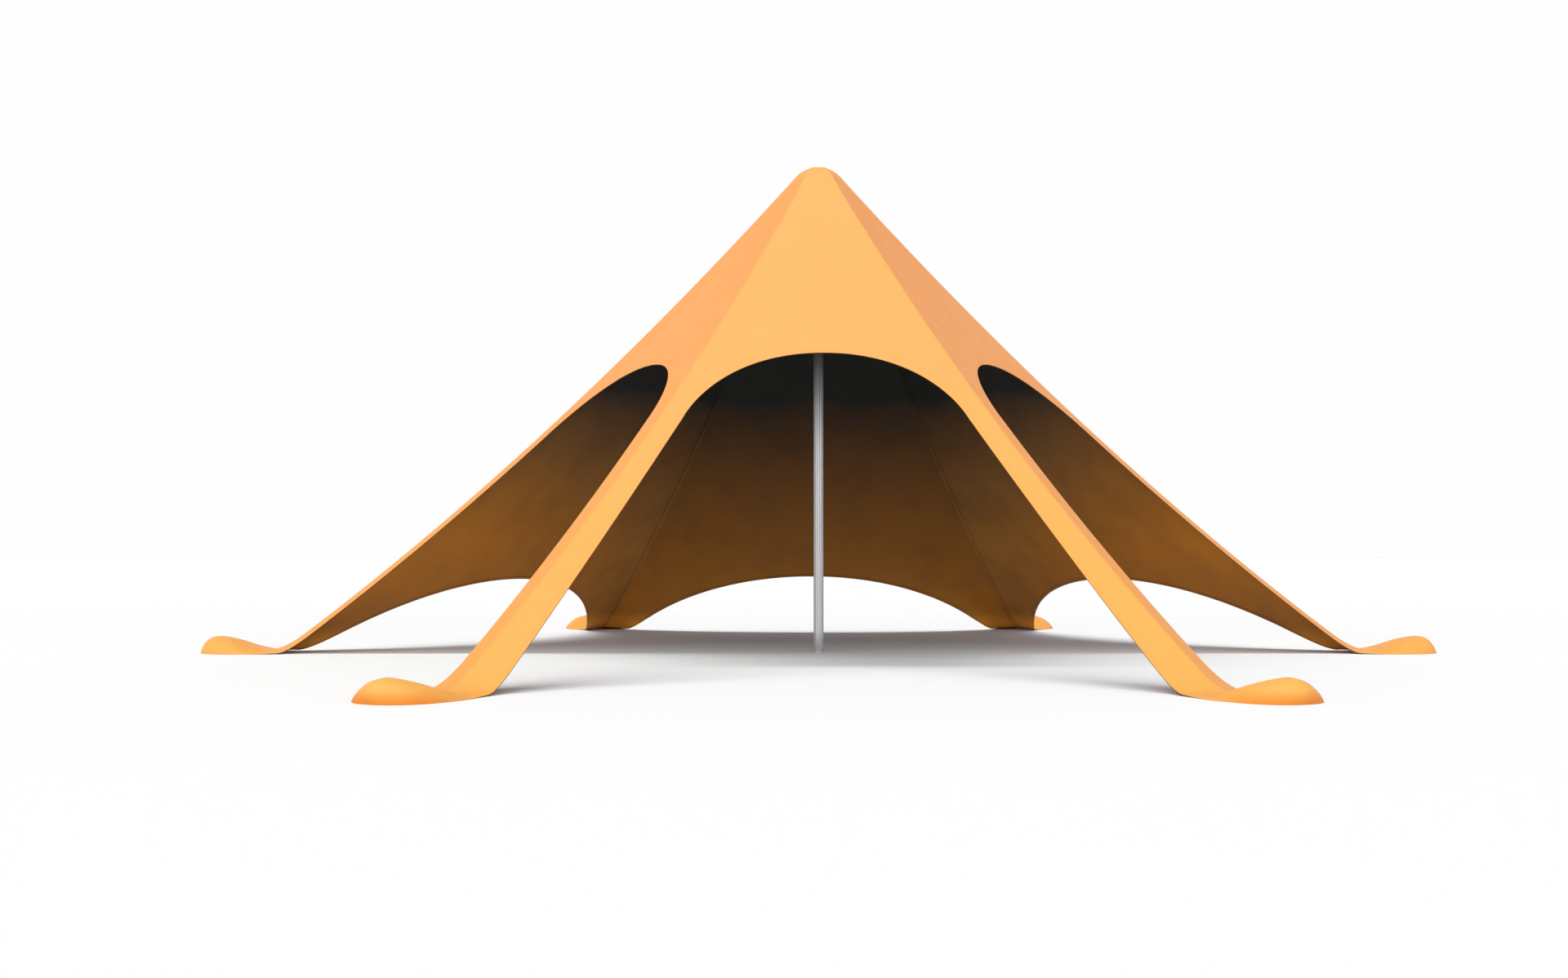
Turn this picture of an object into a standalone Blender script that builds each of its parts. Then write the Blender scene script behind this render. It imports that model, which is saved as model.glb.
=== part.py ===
"""Six-armed star tent on one central mast, 13.9 m across and 5.5 m high.

The canopy hangs from a domed head on the mast and comes down in six arms. Each of its six gores is
stretched straight from ridge to ridge, so that a level cut through it is a hexagon. The three gores at
the front are cut out to high entrance arches, and the three at the back to low scallops. Each arm lies
down flat on the ground and rises again as a teardrop hood over its ground plate.
Metres, +Z up, origin under the middle of the mast, -Y is the front.
"""

from math import cos, pi, radians, sin, sqrt, tan

import bmesh
import bpy
from mathutils import Vector

# Driving sizes of the whole tent
HOOD_TIP = 6.951
PINCH = 6.17
CAP_RIM = 0.30
SHELL = 0.010
SEAT = 0.0003
GROUND_CLEARANCE = 0.008
PINCH_CREST = 0.030
SECTOR = radians(60)

# Underside of a ridge: height = RIDGE_TOP - RIDGE_FALL r + RIDGE_SAG r^2, flared from FLARE_START on
RIDGE_TOP = 5.697
RIDGE_FALL = 1.131
RIDGE_SAG = 0.0318
FLARE_START = 5.77

# Edge of a gore as Bezier points: distance from the gore's middle line, and the ridge radius at that height
ENTRANCE_ARCH = ((0.0, 2.451), (0.80, 2.451), (1.226, 2.874), (1.364, 3.20))
LOW_SCALLOP = ((0.0, 5.053), (0.97, 5.053), (2.03, 5.373), (2.695, PINCH))
# Share of each curve's parameter that runs under the cap's rim, before the first ridge station
ARCH_UNDER_CAP = 0.45
SCALLOP_UNDER_CAP = 0.25
# Stations along a ridge, and the power by which they crowd towards the foot
RIDGE_STEPS = 16
RIDGE_CROWDING = 1.7
# Width of the cloth between an entrance leg's edge and its ridge, and the powers by which it grows
LEG_WIDTH = 0.236
FRONT_FOOT_WIDTH = 0.367
SIDE_FOOT_WIDTH = 0.259
PINCH_WIDTH = 0.390
LEG_SPREAD = 1.8
PINCH_SPREAD = 20

# Domed top of the canopy, as radius and height of its underside
CAP_PROFILE = ((0.245, 5.424), (0.190, 5.472), (0.130, 5.500), (0.065, 5.510))
CAP_ROUNDING = (0.90, 0.70, 0.40, 0.0)
CAP_STEPS = 24

# Hem along the free edge of each gore
HEM_WIDTH = 0.045
HEM_THICKNESS = 0.004
HEM_SLACK = 0.0005

# Hoods, as Bezier points
CREST_RISE = ((PINCH, PINCH_CREST), (6.33, 0.036), (6.635, 0.180), (6.738, 0.180))
CREST_FALL = ((6.738, 0.180), (6.890, 0.180), (HOOD_TIP - SHELL, 0.105), (HOOD_TIP - SHELL, 0.0))
RIM_START = (PINCH - 0.5 * PINCH_WIDTH, sin(SECTOR) * PINCH_WIDTH)
RIM_SWELL = (RIM_START, (6.15, 0.348), (6.33, 0.390), (6.37, 0.390))
RIM_CLOSE = ((6.37, 0.390), (6.755, 0.390), (HOOD_TIP - SHELL, 0.245), (HOOD_TIP - SHELL, 0.0))
# Power of the dome's cross-section, how much its rows sweep back, and the share of it that opens the fold
HOOD_ROUNDNESS = 0.80
HOOD_SWEEP = 0.2
HOOD_OPENS = 0.65

# Mast
MAST_RADIUS = 0.056
MAST_BORE = 0.050
FLUTES = 12
FLUTE_DEPTH = 0.0035
FOOT_HEIGHT = 0.012
FOOT_CHAMFER = 0.002
FOOT_PLUG = 0.060
PLUG_PLAY = 0.001
MAST_TOP = 5.330
SOCKET_RADIUS = 0.074
SOCKET_HEIGHT = 0.140
SOCKET_CAP = 0.020
SOCKET_CHAMFER = 0.004
# Head plate: thickness and place of its brim, and the cone under it
HEAD_PLATE = 0.012
HEAD_RADIUS = 0.170
HEAD_BRIM = 0.050
HEAD_SLOPE = 0.75
HEAD_CLEARANCE = 0.004
HEAD_CONE = 0.010
HEAD_CONE_TOP = 5.430

# Belt under each ridge, and the ground plate that it pulls on
BELT_WIDTH = 0.030
BELT_THICKNESS = 0.005
BELT_SLACK = 0.0005
BELT_AT_HEAD = 5.466
PLATE_START = 6.36
PLATE_LENGTH = 0.30
PLATE_WIDTH = 0.22
PLATE_THICKNESS = 0.010
PLATE_CORNER = 0.030
PLATE_LUG = (0.040, 0.120, 0.050)
LUG_CORNER = 0.015

ARMS = {
    "right": 0,
    "back_right": 60,
    "back_left": 120,
    "left": 180,
    "front_left": 240,
    "front_right": 300,
}
ENTRANCES = {"front_left": 210, "front": 270, "front_right": 330}
BACK_GORES = {"back_right": 30, "back": 90, "back_left": 150}


def bezier(points, t):
    """Point at t from 0 to 1 on the cubic Bezier curve with these four control points."""
    weights = ((1 - t) ** 3, 3 * t * (1 - t) ** 2, 3 * t * t * (1 - t), t**3)
    return tuple(sum(w * p[k] for w, p in zip(weights, points)) for k in range(2))


def two_beziers(first, second, t):
    """Point at t from 0 to 1 on two Bezier curves laid end to end."""
    return bezier(first, 2 * t) if t <= 0.5 else bezier(second, 2 * t - 1)


def ridge_line(r):
    """Height and slope of the ridge's underside before it flares."""
    return RIDGE_TOP - RIDGE_FALL * r + RIDGE_SAG * r * r, -RIDGE_FALL + 2 * RIDGE_SAG * r


def ridge(r):
    """Height and slope of the ridge's underside at radius r, with the flare that lays it on the ground."""
    if r <= FLARE_START:
        return ridge_line(r)
    start, slope = ridge_line(FLARE_START)
    bend = FLARE_START + (PINCH_CREST - start) / slope
    a = FLARE_START - 2 * bend + PINCH
    b = 2 * (bend - FLARE_START)
    t = (-b + sqrt(max(0.0, b * b - 4 * a * (FLARE_START - r)))) / (2 * a)
    height = start * (1 - t) ** 2 + PINCH_CREST * (1 - (1 - t) ** 2)
    run = 2 * (1 - t) * (bend - FLARE_START) + 2 * t * (PINCH - bend)
    return height, 2 * (1 - t) * (PINCH_CREST - start) / run


def pinch_drop(share):
    """How far the pinched cloth lies below its crest, at this share of the way out to its edge."""
    return (PINCH_CREST - GROUND_CLEARANCE) * min(share, 1.0)


def leg_edge(r, foot_width):
    """Distance from the gore's middle line to the edge of an entrance leg, where the ridge has radius r."""
    along = (r - ENTRANCE_ARCH[-1][1]) / (PINCH - ENTRANCE_ARCH[-1][1])
    width = LEG_WIDTH + (foot_width - LEG_WIDTH) * along**LEG_SPREAD
    width += (PINCH_WIDTH - foot_width) * along**PINCH_SPREAD
    return 0.5 * r - width


def gore_point(side, r, depth=0.0, mitre=0.0, inset=0.0):
    """Point on a gore that faces +X: side from its middle line, on the level where the ridge has radius r.

    Where the ridge flares onto the ground, the cloth falls away from it a little towards its edges.
    depth lifts it off the underside, mitre (-1, 0 or 1) keeps it in the plane of a ridge while it does,
    and inset draws it back from that plane.
    """
    height, slope = ridge(r)
    if r > FLARE_START:
        flared = (r - FLARE_START) / (PINCH - FLARE_START)
        height -= pinch_drop((0.5 * r - abs(side)) / PINCH_WIDTH) * flared**2
    normal = Vector((-slope / cos(SECTOR / 2), 0.0, 1.0)).normalized()
    lean = tan(SECTOR / 2) * normal.x * depth - inset / cos(SECTOR / 2)
    return Vector((r * cos(SECTOR / 2), side + mitre * lean, height)) + normal * depth


def turned(point, angle):
    """The point turned about the mast by an angle in degrees."""
    a = radians(angle)
    return Vector((point.x * cos(a) - point.y * sin(a), point.x * sin(a) + point.y * cos(a), point.z))


def material(name, colour, roughness, metallic=0.0):
    made = bpy.data.materials.new(name)
    made.use_nodes = True
    shader = made.node_tree.nodes["Principled BSDF"]
    shader.inputs["Base Color"].default_value = (*colour, 1.0)
    shader.inputs["Roughness"].default_value = roughness
    shader.inputs["Metallic"].default_value = metallic
    return made


def add_mesh(name, vertices, faces, finish, smooth_below=30.0):
    mesh = bpy.data.meshes.new(name)
    mesh.from_pydata([tuple(v) for v in vertices], [], faces)
    work = bmesh.new()
    work.from_mesh(mesh)
    bmesh.ops.remove_doubles(work, verts=work.verts, dist=1e-6)
    bmesh.ops.recalc_face_normals(work, faces=work.faces)
    work.to_mesh(mesh)
    work.free()
    mesh.shade_smooth()
    mesh.set_sharp_from_angle(angle=radians(smooth_below))
    mesh.materials.append(finish)
    made = bpy.data.objects.new(name, mesh)
    bpy.context.scene.collection.objects.link(made)
    return made


def add_shell(name, inner, outer, finish):
    """Closed solid between two grids of points of the same size, given as lists of rows."""
    rows, columns = len(inner), len(inner[0])
    vertices = [p for row in inner for p in row] + [p for row in outer for p in row]
    under = lambda i, j: i * columns + j
    over = lambda i, j: rows * columns + i * columns + j
    faces = []
    for i in range(rows - 1):
        for j in range(columns - 1):
            faces.append((under(i, j), under(i, j + 1), under(i + 1, j + 1), under(i + 1, j)))
            faces.append((over(i, j), over(i + 1, j), over(i + 1, j + 1), over(i, j + 1)))
    for i in range(rows - 1):
        for j in (0, columns - 1):
            faces.append((under(i, j), under(i + 1, j), over(i + 1, j), over(i, j)))
    for j in range(columns - 1):
        for i in (0, rows - 1):
            faces.append((under(i, j), over(i, j), over(i, j + 1), under(i, j + 1)))
    return add_mesh(name, vertices, faces, finish)


def ridge_station(i):
    """Radius of the i-th of the stations along a ridge, which every gore, hem and belt shares."""
    return CAP_RIM + (PINCH - CAP_RIM) * (1 - (1 - i / RIDGE_STEPS) ** RIDGE_CROWDING)


def entrance_columns(foot_width):
    """Half an entrance gore: pairs of a point on its edge and the point across the cloth from it.

    Each is side and ridge radius. The last value says whether the far point lies on the ridge.
    """
    over_crown, beside_crown = 3, 5
    columns = []
    for i in range(over_crown + 1):
        share = i / over_crown
        edge = bezier(ENTRANCE_ARCH, ARCH_UNDER_CAP * share)
        columns.append((edge, (share * CAP_RIM / 2, CAP_RIM), share == 1))
    for i in range(1, RIDGE_STEPS + 1):
        r = ridge_station(i)
        if i <= beside_crown:
            edge = bezier(ENTRANCE_ARCH, ARCH_UNDER_CAP + (1 - ARCH_UNDER_CAP) * i / beside_crown)
        else:
            edge = (leg_edge(r, foot_width), r)
        columns.append((edge, (0.5 * r, r), True))
    return columns


def scallop_columns():
    """Half a back gore, in the same form as entrance_columns."""
    over_middle = 3
    columns = []
    for i in range(over_middle + 1):
        share = i / over_middle
        edge = bezier(LOW_SCALLOP, SCALLOP_UNDER_CAP * share)
        columns.append((edge, (share * CAP_RIM / 2, CAP_RIM), share == 1))
    for i in range(1, RIDGE_STEPS + 1):
        r = ridge_station(i)
        edge = bezier(LOW_SCALLOP, SCALLOP_UNDER_CAP + (1 - SCALLOP_UNDER_CAP) * i / RIDGE_STEPS)
        columns.append((edge, (0.5 * r, r), True))
    return columns


def both_halves(half):
    """The columns of a whole gore from those of its half, each with the side of the ridge it ends on."""
    columns = [((-e[0], e[1]), (-f[0], f[1]), -1 if on_ridge else 0) for e, f, on_ridge in half[:0:-1]]
    return columns + [(e, f, 1 if on_ridge else 0) for e, f, on_ridge in half]


def between(edge, far, share):
    """Side and ridge radius at this share of the way from a column's edge to its far end."""
    return tuple(e + (f - e) * share for e, f in zip(edge, far))


def hem_share(edge, far):
    """Share of a column that the hem covers."""
    return HEM_WIDTH / (gore_point(*far) - gore_point(*edge)).length


def belt_share(edge):
    """Share of a column that the ridge belt covers."""
    return BELT_WIDTH / (0.5 * edge[1] - abs(edge[0]))


def add_gore(name, angle, half, spans, finish):
    """One gore, as a band of cloth between its free edge and its two ridges and top."""
    inner, outer = [], []
    for edge, far, mitre in both_halves(half):
        first, last = hem_share(edge, far), 1 - belt_share(edge)
        shares = [0, *(first + (last - first) * k / spans for k in range(spans + 1)), 1]
        points = [(*between(edge, far, share), mitre * (share == 1)) for share in shares]
        under = [gore_point(side, r, 0.0, at_ridge, SEAT / 2) for side, r, at_ridge in points]
        over = [gore_point(side, r, SHELL, at_ridge, SEAT / 2) for side, r, at_ridge in points]
        inner.append([turned(p, angle) for p in under])
        outer.append([turned(p, angle) for p in over])
    add_shell("gore_" + name, inner, outer, finish)


def add_hem(name, angle, half, finish):
    """Hem along the free edge of a gore, on its inner side."""
    surfaces = []
    for depth in (-HEM_SLACK - HEM_THICKNESS, -HEM_SLACK):
        rows = []
        for edge, far, _ in both_halves(half):
            within = between(edge, far, hem_share(edge, far))
            rows.append([turned(gore_point(*p, depth), angle) for p in (edge, within)])
        surfaces.append(rows)
    add_shell("edge_hem_" + name, *surfaces, finish)


def cap_ring(radius, height, roundness):
    """Ring of the apex cap: a hexagon at its rim, which turns into a circle towards the crown."""
    ring = []
    for k in range(CAP_STEPS):
        a = 2 * pi * k / CAP_STEPS
        off_middle = a % SECTOR - SECTOR / 2
        flat = cos(SECTOR / 2) / cos(off_middle)
        reach = radius * (flat * roundness + 1 - roundness)
        ring.append(Vector((reach * cos(a), reach * sin(a), height)))
    return ring


def add_rings(name, rings, finish, smooth_below=30.0):
    """Closed solid through rings of points of one length, closed by a flat face at both ends."""
    count = len(rings[0])
    vertices = [p for ring in rings for p in ring]
    faces = [tuple(range(count)), tuple(range((len(rings) - 1) * count, len(rings) * count))]
    for k in range(len(rings) - 1):
        for j in range(count):
            n = (j + 1) % count
            faces.append((k * count + j, k * count + n, (k + 1) * count + n, (k + 1) * count + j))
    add_mesh(name, vertices, faces, finish, smooth_below)


def add_apex_cap(finish):
    """Domed cloth cap that closes the canopy over the mast head."""
    height, slope = ridge(CAP_RIM)
    slope /= cos(SECTOR / 2)
    normal = Vector((-slope, 1.0)).normalized()
    gap = 1.5 * SEAT
    rim = (CAP_RIM - gap * normal.y / cos(SECTOR / 2), height + gap * normal.x)
    under = [cap_ring(*rim, 1.0)]
    over = [cap_ring(rim[0] + SHELL * normal.x / cos(SECTOR / 2), rim[1] + SHELL * normal.y, 1.0)]
    for k, (radius, z) in enumerate(CAP_PROFILE):
        lean = normal.x * (1 - (k + 1) / len(CAP_PROFILE))
        under.append(cap_ring(radius, z, CAP_ROUNDING[k]))
        over.append(cap_ring(radius + SHELL * lean, z + SHELL * sqrt(1 - lean * lean), CAP_ROUNDING[k]))
    add_rings("apex_cap", under[::-1] + over, finish)


def hood_row(t, inset, lift, columns):
    """Row of a hood that points along +X, from one rim over the crest to the other.

    The cloth is still folded along its crest at the pinch, and opens to a dome from there.
    """
    crest_r, crest_z = two_beziers(CREST_RISE, CREST_FALL, t)
    rim_r, rim_y = two_beziers(RIM_SWELL, RIM_CLOSE, t)
    start_z = GROUND_CLEARANCE * (1 - t) ** 6
    width = max(rim_y + inset, 0.004)
    tip = inset * t**4
    opened = min(t / HOOD_OPENS, 1.0) ** 1.5
    row = []
    for k in range(columns + 1):
        q = sin((2 * k / columns - 1) * pi / 2)
        r = crest_r + (rim_r - crest_r) * abs(q) ** (1 + HOOD_SWEEP * t) + tip
        dome = (1 - q * q) ** HOOD_ROUNDNESS
        fold = 1 - abs(q)
        z = start_z + (crest_z - start_z) * (fold + (dome - fold) * opened) + lift
        row.append(Vector((r, width * q, z)))
    return row


def add_hood(name, angle, finish):
    """Teardrop hood over a ground plate, open below, with its rim on the ground."""
    rows, columns = 12, 8
    inner, outer = [], []
    for i in range(rows + 1):
        under = hood_row(i / rows, 0.0, 0.0, columns)
        over = hood_row(i / rows, SHELL, SHELL, columns)
        if i == 0:
            under = [p + Vector((SEAT, 0, 0)) for p in under]
            over = [p + Vector((0, 0, SHELL)) for p in under]
        rims = [Vector((p.x, p.y, under[0].z)) for p in (over[0], over[-1])]
        inner.append([turned(p, angle) for p in (under[0], *under, under[-1])])
        outer.append([turned(p, angle) for p in (rims[0], *over, rims[1])])
    add_shell("hood_" + name, inner, outer, finish)


def belt_row(r, columns, angle, depth):
    """Points across a ridge belt, on the lines that the columns of its two gores start along."""
    row = []
    for (edge, far, _), turn, side in zip(columns, (angle - 30, angle + 30), (1, -1)):
        within = between(edge, far, 1 - belt_share(edge))
        row.append(turned(gore_point(side * within[0], within[1], depth), turn))
    row.insert(1, turned(gore_point(0.5 * r, r, depth, 1), angle - 30))
    return row


def add_belt(name, angle, gores, finish):
    """Webbing belt under a ridge, from the rim of the head plate down to the ground plate."""
    halves = [[column for column in half if column[2]] for half in gores]
    half_width = sin(SECTOR) * BELT_WIDTH
    surfaces = []
    for depth in (-BELT_SLACK - BELT_THICKNESS, -BELT_SLACK):
        stations = [ridge_station(i) for i in range(RIDGE_STEPS + 1)]
        rows = [belt_row(r, columns, angle, depth) for r, *columns in zip(stations, *halves)]
        top = BELT_AT_HEAD + (depth + BELT_SLACK)
        sides = (-half_width, 0, half_width)
        start = [Vector((HEAD_RADIUS + 2 * SEAT, y, top)) for y in sides]
        end = [Vector((PLATE_START - SEAT, y, GROUND_CLEARANCE + depth)) for y in sides]
        surfaces.append([[turned(p, angle) for p in start], *rows, [turned(p, angle) for p in end]])
    add_shell("ridge_belt_" + name, *surfaces, finish)


def rounded_ring(middle, length, width, corner, height, angle):
    """Level rectangle with round corners, as a ring of points."""
    ring = []
    for k, (along, side) in enumerate(((1, 1), (-1, 1), (-1, -1), (1, -1))):
        for i in range(5):
            a = pi / 2 * (k + i / 4)
            x = middle + along * (length / 2 - corner) + corner * cos(a)
            y = side * (width / 2 - corner) + corner * sin(a)
            ring.append(turned(Vector((x, y, height)), angle))
    return ring


def add_ground_plate(name, angle, finish):
    """Steel ground plate under a hood, with a lug that the ridge belt pulls on."""
    middle = PLATE_START + PLATE_LENGTH / 2
    lug_length, lug_width, lug_top = PLATE_LUG
    rings = [
        rounded_ring(middle, PLATE_LENGTH, PLATE_WIDTH, PLATE_CORNER, 0.0, angle),
        rounded_ring(middle, PLATE_LENGTH, PLATE_WIDTH, PLATE_CORNER, PLATE_THICKNESS, angle),
        rounded_ring(middle, lug_length, lug_width, LUG_CORNER, PLATE_THICKNESS, angle),
        rounded_ring(middle, lug_length, lug_width, LUG_CORNER, lug_top, angle),
    ]
    add_rings("ground_plate_" + name, rings, finish)


def add_turned(name, profile, finish, segments=24):
    """Solid turned about the mast's axis from an outline of radius and height that ends on it."""
    count = len(profile) - 2
    vertices = [Vector((0, 0, profile[0][1]))]
    for k in range(segments):
        a = 2 * pi * k / segments
        vertices += [Vector((r * cos(a), r * sin(a), z)) for r, z in profile[1:-1]]
    vertices.append(Vector((0, 0, profile[-1][1])))
    faces = []
    for k in range(segments):
        here, there = 1 + k * count, 1 + (k + 1) % segments * count
        faces.append((0, there, here))
        faces.append((len(vertices) - 1, here + count - 1, there + count - 1))
        for i in range(count - 1):
            faces.append((here + i, there + i, there + i + 1, here + i + 1))
    add_mesh(name, vertices, faces, finish)


def add_mast(finish):
    """Fluted tube: twelve ribs with a shallow flute between each two."""
    bottom, top = FOOT_HEIGHT + SEAT, MAST_TOP
    steps = 5
    count = FLUTES * steps
    section = []
    for k in range(count):
        a = 2 * pi * k / count
        wave = abs(cos(a * FLUTES / 2)) ** 0.5
        section.append((MAST_RADIUS - FLUTE_DEPTH * (1 - wave), a))
    vertices, faces = [], []
    for height in (bottom, top):
        vertices += [Vector((r * cos(a), r * sin(a), height)) for r, a in section]
        vertices += [Vector((MAST_BORE * cos(a), MAST_BORE * sin(a), height)) for _, a in section]
    for k in range(count):
        n = (k + 1) % count
        low, bore, high, high_bore = 0, count, 2 * count, 3 * count
        faces.append((low + k, low + n, high + n, high + k))
        faces.append((bore + n, bore + k, high_bore + k, high_bore + n))
        faces.append((low + n, low + k, bore + k, bore + n))
        faces.append((high + k, high + n, high_bore + n, high_bore + k))
    add_mesh("mast_tube", vertices, faces, finish, smooth_below=50.0)


def add_mast_ends(finish):
    """Plug in the mast's foot, and the socket and domed head plate that carry the cap."""
    plug = MAST_BORE - PLUG_PLAY
    foot = [(0.0, 0.0), (MAST_RADIUS - FOOT_CHAMFER, 0.0)]
    foot += [(MAST_RADIUS, FOOT_CHAMFER), (MAST_RADIUS, FOOT_HEIGHT)]
    add_turned("mast_foot", foot + [(plug, FOOT_HEIGHT), (plug, FOOT_PLUG), (0.0, FOOT_PLUG)], finish)

    bore = MAST_RADIUS + SEAT
    low, high = MAST_TOP - SOCKET_HEIGHT, MAST_TOP + SOCKET_CAP
    socket = [(0.0, MAST_TOP + SEAT), (bore, MAST_TOP + SEAT), (bore, low)]
    socket += [(SOCKET_RADIUS - SOCKET_CHAMFER, low), (SOCKET_RADIUS, low + SOCKET_CHAMFER)]
    socket += [(SOCKET_RADIUS, high), (0.0, high)]
    add_turned("mast_socket", socket, finish)

    top = [(radius, z - HEAD_CLEARANCE) for radius, z in CAP_PROFILE[2:]]
    edge = (HEAD_RADIUS, top[0][1] - HEAD_SLOPE * (HEAD_RADIUS - top[0][0]))
    plate = [(0.0, high + SEAT), (SOCKET_RADIUS - HEAD_CONE, high + SEAT)]
    plate += [(SOCKET_RADIUS + HEAD_CONE, HEAD_CONE_TOP), (HEAD_RADIUS - HEAD_BRIM, edge[1] - HEAD_PLATE)]
    plate += [(HEAD_RADIUS, edge[1] - HEAD_PLATE), edge]
    add_turned("mast_head_plate", plate + top + [(0.0, top[-1][1])], finish)


def clear_scene():
    for old in list(bpy.data.objects):
        bpy.data.objects.remove(old, do_unlink=True)


def main():
    clear_scene()
    cloth = material("canopy_cloth", (0.93, 0.42, 0.10), 0.62)
    webbing = material("belt_webbing", (0.85, 0.40, 0.12), 0.75)
    aluminium = material("mast_aluminium", (0.72, 0.72, 0.73), 0.35, 1.0)
    steel = material("plate_steel", (0.45, 0.46, 0.47), 0.45, 1.0)
    halves = {angle: entrance_columns(SIDE_FOOT_WIDTH) for angle in ENTRANCES.values()}
    halves |= {angle: scallop_columns() for angle in BACK_GORES.values()}
    halves[ENTRANCES["front"]] = entrance_columns(FRONT_FOOT_WIDTH)
    for name, angle in (ENTRANCES | BACK_GORES).items():
        add_gore(name, angle, halves[angle], 4 if name in ENTRANCES else 6, cloth)
        add_hem(name, angle, halves[angle], webbing)
    for name, angle in ARMS.items():
        add_hood(name, angle, cloth)
        add_belt(name, angle, (halves[(angle - 30) % 360], halves[(angle + 30) % 360]), webbing)
        add_ground_plate(name, angle, steel)
    add_apex_cap(cloth)
    add_mast(aluminium)
    add_mast_ends(aluminium)


main()
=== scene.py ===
"""Star tent with six arms on one mast: cloth, hems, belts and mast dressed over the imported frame.

Every visible surface is a smooth sheet made from the same curves as the solids, with the seams and stitches
drawn by its material. Metres, +Z up, origin under the mast, -Y is the front.
"""

from math import cos, pi, radians, sin, sqrt, tan

import bmesh
import bpy
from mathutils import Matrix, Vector


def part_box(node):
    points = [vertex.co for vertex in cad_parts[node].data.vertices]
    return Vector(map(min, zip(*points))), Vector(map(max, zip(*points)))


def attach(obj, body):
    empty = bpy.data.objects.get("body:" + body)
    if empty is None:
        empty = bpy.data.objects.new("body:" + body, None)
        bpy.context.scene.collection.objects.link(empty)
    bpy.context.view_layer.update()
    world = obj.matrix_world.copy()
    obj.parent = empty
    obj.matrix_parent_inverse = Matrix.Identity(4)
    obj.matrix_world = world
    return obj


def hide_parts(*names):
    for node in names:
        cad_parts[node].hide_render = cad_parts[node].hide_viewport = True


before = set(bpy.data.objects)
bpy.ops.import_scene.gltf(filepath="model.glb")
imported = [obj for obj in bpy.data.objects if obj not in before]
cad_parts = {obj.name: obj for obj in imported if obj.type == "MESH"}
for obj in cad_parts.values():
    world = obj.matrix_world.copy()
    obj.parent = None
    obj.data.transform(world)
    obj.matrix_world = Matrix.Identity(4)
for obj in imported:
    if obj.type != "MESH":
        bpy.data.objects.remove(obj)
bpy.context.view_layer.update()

# Driving sizes, as in the solids
HOOD_TIP = 6.951
PINCH = 6.17
CAP_RIM = 0.30
SHELL = 0.010
GROUND_CLEARANCE = 0.008
PINCH_CREST = 0.030
SECTOR = radians(60)
RIDGE_TOP = 5.697
RIDGE_FALL = 1.131
RIDGE_SAG = 0.0318
FLARE_START = 5.77
ENTRANCE_ARCH = ((0.0, 2.451), (0.80, 2.451), (1.226, 2.874), (1.364, 3.20))
LOW_SCALLOP = ((0.0, 5.053), (0.97, 5.053), (2.03, 5.373), (2.695, PINCH))
ARCH_UNDER_CAP = 0.45
SCALLOP_UNDER_CAP = 0.25
RIDGE_CROWDING = 1.7
LEG_WIDTH = 0.236
FRONT_FOOT_WIDTH = 0.367
SIDE_FOOT_WIDTH = 0.259
PINCH_WIDTH = 0.390
LEG_SPREAD = 1.8
PINCH_SPREAD = 20
CAP_PROFILE = ((0.245, 5.424), (0.190, 5.472), (0.130, 5.500), (0.065, 5.510))
CAP_TOP = 5.5115
CREST_RISE = ((PINCH, PINCH_CREST), (6.33, 0.036), (6.635, 0.180), (6.738, 0.180))
CREST_FALL = ((6.738, 0.180), (6.890, 0.180), (HOOD_TIP - SHELL, 0.105), (HOOD_TIP - SHELL, 0.0))
RIM_START = (PINCH - 0.5 * PINCH_WIDTH, sin(SECTOR) * PINCH_WIDTH)
RIM_SWELL = (RIM_START, (6.15, 0.348), (6.33, 0.390), (6.37, 0.390))
RIM_CLOSE = ((6.37, 0.390), (6.755, 0.390), (HOOD_TIP - SHELL, 0.245), (HOOD_TIP - SHELL, 0.0))
HOOD_ROUNDNESS = 0.80
HOOD_SWEEP = 0.2
HOOD_OPENS = 0.65
MAST_RADIUS = 0.056
FLUTES = 12
FLUTE_DEPTH = 0.0035
BELT_WIDTH = 0.030
HOOD_ROWS = 44
HOOD_COLUMNS = 40

# Cloth as it is sewn: where its two faces lie between those of the solids, and its hems
CLOTH_OUTSIDE = 0.0070
CLOTH_INSIDE = 0.0040
HEM_WIDTH = 0.045
HEM_OUTSIDE = 0.0036
HEM_INSIDE = -0.0010

ARMS = {
    "right": 0,
    "back_right": 60,
    "back_left": 120,
    "left": 180,
    "front_left": 240,
    "front_right": 300,
}
ENTRANCES = {"front_left": 210, "front": 270, "front_right": 330}
BACK_GORES = {"back_right": 30, "back": 90, "back_left": 150}


# Shape of the canopy

def bezier(points, t):
    """Point at t from 0 to 1 on the cubic Bezier curve with these four control points."""
    weights = ((1 - t) ** 3, 3 * t * (1 - t) ** 2, 3 * t * t * (1 - t), t**3)
    return tuple(sum(w * p[k] for w, p in zip(weights, points)) for k in range(2))


def two_beziers(first, second, t):
    """Point at t from 0 to 1 on two Bezier curves laid end to end."""
    return bezier(first, 2 * t) if t <= 0.5 else bezier(second, 2 * t - 1)


def ridge_line(r):
    """Height and slope of a ridge before it flares."""
    return RIDGE_TOP - RIDGE_FALL * r + RIDGE_SAG * r * r, -RIDGE_FALL + 2 * RIDGE_SAG * r


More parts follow.
